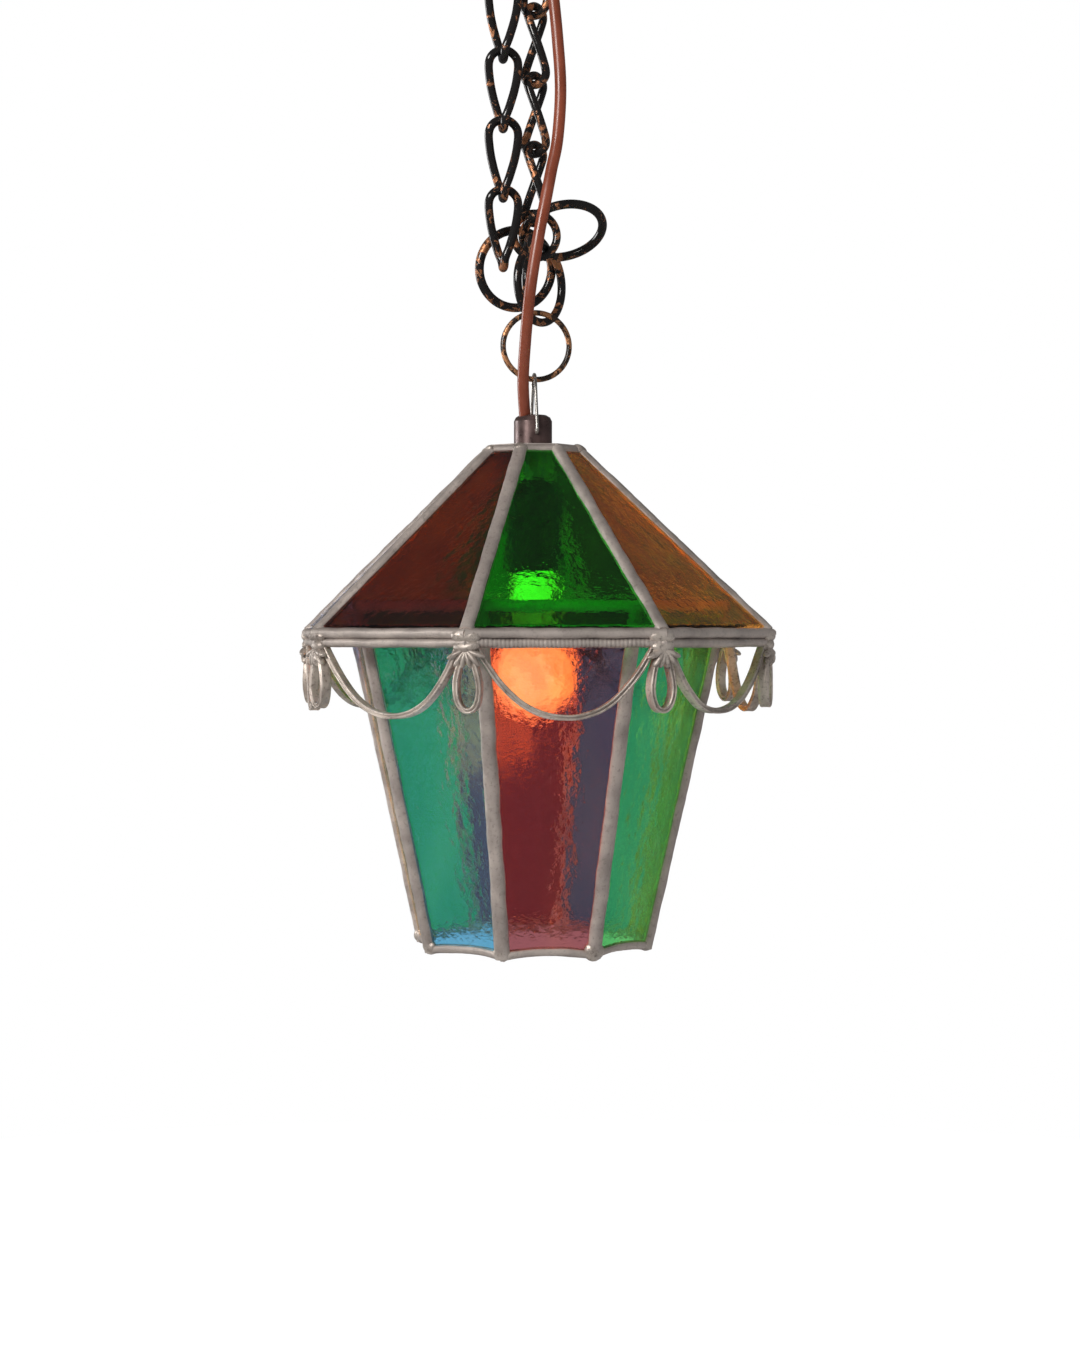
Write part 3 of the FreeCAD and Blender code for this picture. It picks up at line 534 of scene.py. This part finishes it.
class Look:
    """A node material, built one node at a time."""

    def __init__(self, name):
        self.material = bpy.data.materials.new(name)
        self.material.use_nodes = True
        self.tree = self.material.node_tree
        self.surface = self.tree.nodes["Principled BSDF"]
        self.output = self.tree.nodes["Material Output"]
        self.place = self.node("ShaderNodeTexCoord").outputs["Object"]

    def node(self, kind, **settings):
        made = self.tree.nodes.new(kind)
        for key, value in settings.items():
            setattr(made, key, value)
        return made

    def feed(self, socket, value):
        if hasattr(value, "is_linked"):
            self.tree.links.new(value, socket)
        else:
            socket.default_value = value

    def noise(self, size, detail=4.0, roughness=0.55, stretch=(1, 1, 1), distortion=0.0):
        """Noise whose features are about size metres across."""
        mapping = self.node("ShaderNodeMapping")
        self.feed(mapping.inputs["Vector"], self.place)
        mapping.inputs["Scale"].default_value = [1 / (size * s) for s in stretch]
        made = self.node("ShaderNodeTexNoise")
        self.feed(made.inputs["Vector"], mapping.outputs["Vector"])
        made.inputs["Scale"].default_value = 1.0
        made.inputs["Detail"].default_value = detail
        made.inputs["Roughness"].default_value = roughness
        made.inputs["Distortion"].default_value = distortion
        return made.outputs["Fac"]

    def ramp(self, factor, stops, ease="EASE"):
        made = self.node("ShaderNodeValToRGB")
        made.color_ramp.interpolation = ease
        while len(made.color_ramp.elements) < len(stops):
            made.color_ramp.elements.new(0.5)
        for element, (position, colour) in zip(made.color_ramp.elements, stops):
            element.position = position
            if not hasattr(colour, "__len__"):
                colour = (colour, colour, colour)
            element.color = (*colour, 1.0)
        self.feed(made.inputs["Fac"], factor)
        return made.outputs["Color"]

    def mix(self, factor, a, b, blend="MIX"):
        made = self.node("ShaderNodeMix", data_type="RGBA", blend_type=blend)
        self.feed(made.inputs[0], factor)
        for socket, value in ((made.inputs[6], a), (made.inputs[7], b)):
            if not hasattr(value, "is_linked") and len(value) == 3:
                value = (*value, 1.0)
            self.feed(socket, value)
        return made.outputs[2]

    def maths(self, operation, a, b):
        made = self.node("ShaderNodeMath", operation=operation)
        self.feed(made.inputs[0], a)
        self.feed(made.inputs[1], b)
        return made.outputs[0]

    def bump(self, height, strength, distance):
        made = self.node("ShaderNodeBump")
        made.inputs["Strength"].default_value = strength
        made.inputs["Distance"].default_value = distance
        self.feed(made.inputs["Height"], height)
        self.feed(self.surface.inputs["Normal"], made.outputs["Normal"])

    def set(self, **values):
        for key, value in values.items():
            self.feed(self.surface.inputs[key.replace("_", " ")], value)


def lead_look(name, dark, light, roughness):
    """Aged lead: pale where it is rubbed, darker and browner in the hollows."""
    look = Look(name)
    cloud = look.noise(0.017, 5.0, 0.6)
    speck = look.noise(0.0016, 6.0, 0.7)
    base = look.ramp(cloud, [(0.3, dark), (0.68, light)])
    stain = look.ramp(speck, [(0.36, (0.10, 0.085, 0.08)), (0.47, (1, 1, 1))])
    colour = look.mix(0.55, base, stain, "MULTIPLY")
    edges = look.node("ShaderNodeNewGeometry").outputs["Pointiness"]
    rubbed = look.ramp(edges, [(0.49, 0.0), (0.56, 1.0)])
    colour = look.mix(look.maths("MULTIPLY", rubbed, 0.5), colour, (0.60, 0.54, 0.49))
    dull = look.ramp(look.noise(0.005, 3.0), [(0.3, roughness - 0.1), (0.7, roughness + 0.12)])
    look.set(Base_Color=colour, Metallic=0.45, Roughness=dull)
    scratches = look.noise(0.0007, 5.0, 0.75, stretch=(1, 1, 5.0))
    grain = look.noise(0.0011, 5.0, 0.7)
    look.bump(look.maths("ADD", grain, look.maths("MULTIPLY", scratches, 0.8)), 0.5, 0.0003)
    return look.material


def glass_look(name, tint, streak):
    """Rolled coloured glass. Lamps shine through it without being bent."""
    look = Look(name)
    flow = look.noise(0.03, 3.0, 0.5, stretch=(1, 1, 3.0), distortion=0.6)
    colour = look.mix(look.ramp(flow, [(0.35, 0.0), (0.75, 1.0)]), tint, streak)
    look.set(Base_Color=colour, Roughness=0.02, IOR=1.48, Transmission_Weight=1.0)
    ripple = look.maths("ADD", look.noise(0.0026, 3.0, 0.55, stretch=(1.3, 1.3, 1)),
                        look.maths("MULTIPLY", look.noise(0.0075, 2.0, stretch=(1, 1, 1.5)), 1.6))
    look.bump(ripple, 0.42, 0.0005)
    clear = look.node("ShaderNodeBsdfTransparent")
    look.feed(clear.inputs["Color"], look.mix(0.45, colour, (1.0, 1.0, 1.0)))
    path = look.node("ShaderNodeLightPath")
    mixed = look.node("ShaderNodeMixShader")
    look.feed(mixed.inputs[0], path.outputs["Is Shadow Ray"])
    look.feed(mixed.inputs[1], look.surface.outputs["BSDF"])
    look.feed(mixed.inputs[2], clear.outputs["BSDF"])
    look.feed(look.output.inputs["Surface"], mixed.outputs["Shader"])
    return look.material


def worn_look(name, paint, metal, worn_from, worn_to, gloss):
    """Glossy black paint chipped and rubbed through to warm metal."""
    look = Look(name)
    chips = look.noise(0.0052, 5.0, 0.65, distortion=0.8)
    patches = look.noise(0.016, 2.0, 0.5)
    amount = look.maths("ADD", look.maths("MULTIPLY", chips, 0.6), look.maths("MULTIPLY", patches, 0.4))
    worn = look.ramp(amount, [(worn_from, 0.0), (worn_to, 1.0)], "LINEAR")
    bright = look.mix(look.noise(0.0016, 4.0), metal, [c * 1.5 for c in metal])
    look.set(Base_Color=look.mix(worn, paint, bright))
    look.set(Metallic=look.maths("MULTIPLY", worn, 0.75))
    look.set(Roughness=look.ramp(worn, [(0.0, gloss), (1.0, 0.42)]))
    grain = look.noise(0.0022, 4.0)
    look.bump(look.maths("SUBTRACT", grain, look.maths("MULTIPLY", worn, 0.5)), 0.4, 0.0003)
    return look.material


def plain_look(name, colour, spread, metallic, roughness, grain=0.002, bump=0.15):
    """One colour that varies by spread, with a fine grain."""
    look = Look(name)
    cloud = look.noise(grain * 6, 4.0)
    darker = [c * (1 - spread) for c in colour]
    brighter = [min(1.0, c * (1 + spread)) for c in colour]
    look.set(Base_Color=look.ramp(cloud, [(0.3, darker), (0.7, brighter)]))
    look.set(Metallic=metallic)
    sheen = look.noise(grain * 3, 3.0)
    look.set(Roughness=look.ramp(sheen, [(0.3, roughness * 0.8), (0.7, roughness * 1.25)]))
    look.bump(look.noise(grain, 4.0), bump, 0.0002)
    return look.material


def bulb_look():
    """Lit globe: one colour as it is seen, and a warmer and stronger one for the light it gives."""
    look = Look("lit_bulb_glass")
    facing = look.node("ShaderNodeLayerWeight").outputs["Facing"]
    hot = [(0.0, (0.74, 1.0, 0.30)), (0.22, (0.72, 0.78, 0.17)), (0.6, (0.62, 0.34, 0.05)),
           (1.0, (0.42, 0.09, 0.01))]
    open_glow = look.ramp(facing, [(0.0, (0.42, 0.36, 0.24)), (1.0, (0.40, 0.20, 0.07))])
    frost = look.ramp(look.noise(0.013, 4.0, 0.6), [(0.3, (0.72, 0.52, 0.40)), (0.68, (1.0, 1.0, 1.0))])
    path = look.node("ShaderNodeLightPath").outputs
    seen_glow = look.mix(path["Is Camera Ray"], look.ramp(facing, hot), open_glow)
    seen = look.maths("MAXIMUM", path["Is Camera Ray"], path["Is Transmission Ray"])
    colour = look.mix(seen, (1.0, 0.40, 0.08), look.mix(1.0, seen_glow, frost, "MULTIPLY"))
    strength = look.maths("ADD", look.maths("MULTIPLY", seen, BULB_SEEN - BULB_LIGHT), BULB_LIGHT)
    look.set(Base_Color=(0.9, 0.8, 0.65, 1.0), Roughness=0.25)
    look.set(Emission_Color=colour, Emission_Strength=strength)
    return look.material


# Strength of the bulb as it is seen, and of the light it gives.
BULB_SEEN, BULB_LIGHT = 3.9, 17.0
LEAD = lead_look("aged_lead", (0.155, 0.122, 0.112), (0.38, 0.315, 0.285), 0.40)
RIBBON_LEAD = lead_look("drawn_lead_ribbon", (0.27, 0.225, 0.195), (0.60, 0.525, 0.465), 0.38)
# Lighter copy of the lead, used only on the body's top bead: painted light, as if that bead were lit from
# the front.
LEAD_PAINTED_LIT = lead_look("lead_painted_lit", (0.55, 0.52, 0.50), (0.80, 0.78, 0.75), 0.5)
SOLDER = lead_look("dull_solder", (0.25, 0.21, 0.185), (0.54, 0.475, 0.42), 0.34)
CHAIN = worn_look("chipped_black_paint", (0.010, 0.009, 0.009), (0.40, 0.17, 0.08), 0.545, 0.585, 0.16)
BRONZE = worn_look("rubbed_bronze", (0.022, 0.014, 0.010), (0.44, 0.21, 0.10), 0.495, 0.55, 0.25)
CAP_METAL = plain_look("brown_patina", (0.105, 0.066, 0.062), 0.3, 0.55, 0.33, 0.0015, 0.2)
STEEL = plain_look("zinc_steel", (0.42, 0.40, 0.38), 0.15, 0.9, 0.35)
WIRE = plain_look("galvanised_wire", (0.50, 0.48, 0.45), 0.2, 0.85, 0.3, 0.001)
FLEX = plain_look("red_brown_flex", (0.185, 0.042, 0.020), 0.14, 0.0, 0.3, 0.004, 0.08)
HOLDER = plain_look("black_phenolic", (0.016, 0.013, 0.011), 0.3, 0.0, 0.32)
BRASS = plain_look("rolled_brass", (0.55, 0.42, 0.18), 0.2, 0.9, 0.3)
BULB = bulb_look()

GLASS = {
    "roof_green": glass_look("roof_glass_green", (0.012, 0.36, 0.016), (0.02, 0.45, 0.02)),
    "roof_amber": glass_look("roof_glass_amber", (0.60, 0.235, 0.022), (0.72, 0.34, 0.035)),
    "roof_blue": glass_look("roof_glass_blue", (0.14, 0.34, 0.80), (0.2, 0.44, 0.9)),
    "roof_red": glass_look("roof_glass_red", (0.15, 0.036, 0.032), (0.21, 0.060, 0.030)),
    "body_red": glass_look("body_glass_red", (0.40, 0.125, 0.145), (0.48, 0.15, 0.15)),
    "body_green": glass_look("body_glass_green", (0.12, 0.64, 0.18), (0.20, 0.72, 0.20)),
    "body_amber": glass_look("body_glass_amber", (0.95, 0.52, 0.09), (1.0, 0.62, 0.12)),
    "body_blue": glass_look("body_glass_blue", (0.15, 0.50, 0.76), (0.24, 0.58, 0.86)),
}


# Studio: the floor, its glow and the extra glow that only the camera sees, the lamps, and the sky's
# strength as light, in reflections and through glass.
FLOOR_Z, STAGE_RADIUS = -0.42, 1.7
FLOOR_GLOW, FLOOR_SEEN_GLOW = 0.35, 0.40
LAMP_SIZE, LAMP_AIM = 0.8, Vector((0, 0, 0.2))
SKY_ON_OBJECT, SKY_REFLECTED, SKY_THROUGH_GLASS = 0.34, 0.10, 0.72


# Lantern pieces ------------------------------------------------------------------------------------

def dress(piece, material, body, slot, *nodes):
    piece.data.materials.append(material)
    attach(piece, body)
    if nodes:
        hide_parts(*nodes)
    return piece


def build_glass():
    for index in range(SIDES):
        number = str(index + 1)
        colour = ROOF_COLOURS[index]
        roof = glass_pane("roof_glass_" + number, "roof_pane_" + number, index, 11 + index, 0.00020)
        dress(roof, GLASS["roof_" + colour], "lantern", "glass_" + colour, "roof_pane_" + number)
        colour = BODY_COLOURS[index]
        body = glass_pane("body_glass_" + number, "body_pane_" + number, index, 31 + index, 0.00026)
        dress(body, GLASS["body_" + colour], "lantern", "glass_" + colour, "body_pane_" + number)


def build_lead():
    rim, top = (RIM_RADIUS, 0.0012), (BODY_TOP_RADIUS, BODY_TOP_Z)
    body = corner_cames("body_corner_lead", rim, top, 0.0075, 0.0062, 5)
    dress(body, LEAD, "lantern", "lead", "body_corner_cames")
    eave, crown = (EAVE_RADIUS, EAVE_Z + 0.0012), (ROOF_TOP_RADIUS, ROOF_TOP_Z)
    hips = corner_cames("roof_hip_lead", eave, crown, 0.0070, 0.0060, 15)
    dress(hips, LEAD, "lantern", "lead", "roof_hip_cames")

    beads = Heap()
    ring_bead(beads, EAVE_RADIUS, EAVE_Z + 0.0004, 0.0052, 0.0076, 61)
    ring_bead(beads, EAVE_RADIUS - 0.0006, EAVE_Z - 0.0040, 0.0046, 0.0066, 81, 0.0, ROPE_SIDES)
    dress(beads.piece("eave_lead_beads"), LEAD, "lantern", "lead", "eave_cames")

    rims = Heap()
    ring_bead(rims, RIM_RADIUS, 0.0022, 0.0048, 0.0062, 91, 0.0022)
    dress(rims.piece("bottom_rim_lead"), LEAD, "lantern", "lead", "bottom_rim_cames")

    tops = Heap()
    ring_bead(tops, BODY_TOP_RADIUS, BODY_TOP_Z - 0.0032, 0.0058, 0.0048, 101)
    # The top bead takes the lighter copy of the lead: painted light on it.
    dress(tops.piece("body_top_lead"), LEAD_PAINTED_LIT, "lantern", "lead", "body_top_cames")

    collar = Heap()
    ring_bead(collar, COLLAR_RADIUS, ROOF_TOP_Z - 0.0012, 0.0050, 0.0052, 111)
    dress(collar.piece("roof_top_lead"), LEAD, "lantern", "lead", "roof_top_collar")


def build_ornaments():
    bows = ribbons("bow_loop_ribbons", [teardrop_path(i) for i in range(SIDES)], 0.0026, 0.0052, 121)
    dress(bows, RIBBON_LEAD, "lantern", "lead", "bow_loops")
    swags = ribbons("swag_ribbons", [swag_path(i) for i in range(SIDES)], 0.0027, 0.0048, 141, MILLED_SWAGS)
    dress(swags, RIBBON_LEAD, "lantern", "lead", "festoon_swags")


def build_solder():
    dress(eave_knots("eave_solder_knots"), SOLDER, "lantern", "solder", "eave_solder_joints")
    rim = corner_lumps("rim_solder_lumps", RIM_RADIUS + 0.0004, 0.0042, (0.0046, 0.0036, 0.0042), 71)
    dress(rim, SOLDER, "lantern", "solder", "rim_solder_joints")
    at, sizes = COLLAR_RADIUS + 0.0002, (0.0036, 0.0034, 0.0028)
    crown = corner_lumps("crown_solder_lumps", at, ROOF_TOP_Z - 0.0012, sizes, 87)
    dress(crown, SOLDER, "lantern", "solder", "crown_solder_joints")


def build_bulb():
    centre, radius, neck, top = 0.136, 0.0225, 0.0118, 0.188
    outline = [(0.0, centre - radius)]
    for k in range(1, 26):
        angle = math.pi * k / 26 * 0.80
        outline.append((radius * math.sin(angle), centre - radius * math.cos(angle)))
    outline += [(neck + 0.0008, 0.1570), (neck, 0.1610), (neck - 0.0003, top), (0.0, top)]
    dress(lathe("bulb_glass_globe", outline), BULB, "bulb", "bulb_glass", "bulb_globe")


def finish_cad_nodes():
    """Give every CAD piece that stays in view its finish."""
    looks = {
        "top_plate": LEAD, "domed_cap": CAP_METAL, "lock_nut_upper": STEEL, "lock_nut_lower": STEEL,
        "threaded_nipple": STEEL, "lampholder": HOLDER, "bulb_screw_cap": BRASS, "wire_bail": WIRE,
        "ring_a": BRONZE,
    }
    for name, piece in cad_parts.items():
        if piece.hide_render:
            continue
        material = looks.get(name, CHAIN)
        piece.data.materials.clear()
        piece.data.materials.append(material)


def build_stage():
    """Pale floor well below the lantern. It glows more to the camera, so that its edge fades away."""
    steps = 96
    ring = [(x, y, FLOOR_Z) for x, y in round_section(STAGE_RADIUS, steps)]
    floor = make_mesh("studio_floor", ring, [list(range(steps))])
    look = Look("pale_floor")
    look.set(Base_Color=look.ramp(look.noise(0.4, 2.0), [(0.3, 0.86), (0.7, 0.90)]), Roughness=0.9)
    seen = look.node("ShaderNodeLightPath").outputs["Is Camera Ray"]
    glow = look.maths("ADD", look.maths("MULTIPLY", seen, FLOOR_SEEN_GLOW), FLOOR_GLOW)
    look.set(Emission_Color=(1.0, 1.0, 1.0, 1.0), Emission_Strength=glow)
    floor.data.materials.append(look.material)
    floor.visible_glossy = False


def area_light(name, place, energy, colour):
    """Round studio lamp aimed at the lantern's eave."""
    data = bpy.data.lights.new(name, "AREA")
    data.shape = "DISK"
    data.size, data.energy, data.color = LAMP_SIZE, energy, colour
    lamp = bpy.data.objects.new(name, data)
    lamp.location = place
    lamp.rotation_euler = (LAMP_AIM - Vector(place)).to_track_quat("-Z", "Y").to_euler()
    bpy.context.scene.collection.objects.link(lamp)
    return lamp


def build_world():
    """White to the camera, grey through the glass and softer still as light on the object."""
    world = bpy.data.worlds.new("soft_studio")
    world.use_nodes = True
    bpy.context.scene.world = world
    tree = world.node_tree
    background = tree.nodes["Background"]
    path = tree.nodes.new("ShaderNodeLightPath")
    level = SKY_ON_OBJECT
    for ray, strength in (("Is Glossy Ray", SKY_REFLECTED), ("Is Transmission Ray", SKY_THROUGH_GLASS),
                          ("Is Camera Ray", 1.0)):
        step = tree.nodes.new("ShaderNodeMix")
        step.data_type = "FLOAT"
        step.inputs[3].default_value = strength
        tree.links.new(path.outputs[ray], step.inputs[0])
        if level is SKY_ON_OBJECT:
            step.inputs[2].default_value = level
        else:
            tree.links.new(level, step.inputs[2])
        level = step.outputs[0]
    tree.links.new(level, background.inputs["Strength"])
    background.inputs["Color"].default_value = (1, 1, 1, 1)


def build_camera():
    """Near eye level with the eave, and a little to the left of the front side."""
    turn = math.radians(7.7)
    distance = 1.25
    right = Vector((math.cos(turn), -math.sin(turn), 0))
    place = Vector((-distance * math.sin(turn), -distance * math.cos(turn), 0.1575))
    aim = Vector((0, 0, 0.136)) + right * 0.0035
    data = bpy.data.cameras.new("camera")
    data.lens, data.sensor_width, data.sensor_fit = 66.7, 36.0, "AUTO"
    camera = bpy.data.objects.new("camera", data)
    camera.location = place
    camera.rotation_euler = (aim - place).to_track_quat("-Z", "Y").to_euler()
    bpy.context.scene.collection.objects.link(camera)
    bpy.context.scene.camera = camera


build_glass()
build_lead()
build_ornaments()
build_solder()
build_bulb()
flex_pieces(FLEX)
finish_cad_nodes()
build_stage()
build_world()
area_light("key_left", (-1.3, -1.2, 0.9), 34.0, (1.0, 0.98, 0.95))
# The fill isn't reflected, or it would whiten the roof panes that are seen edge on.
fill = area_light("fill_right", (1.4, -0.9, 0.2), 6.0, (0.95, 0.97, 1.0))
fill.visible_glossy = False
area_light("rim_left", (-1.4, 0.9, 0.3), 10.0, (1.0, 1.0, 1.0))
build_camera()
bpy.context.scene.view_settings.view_transform = "Standard"
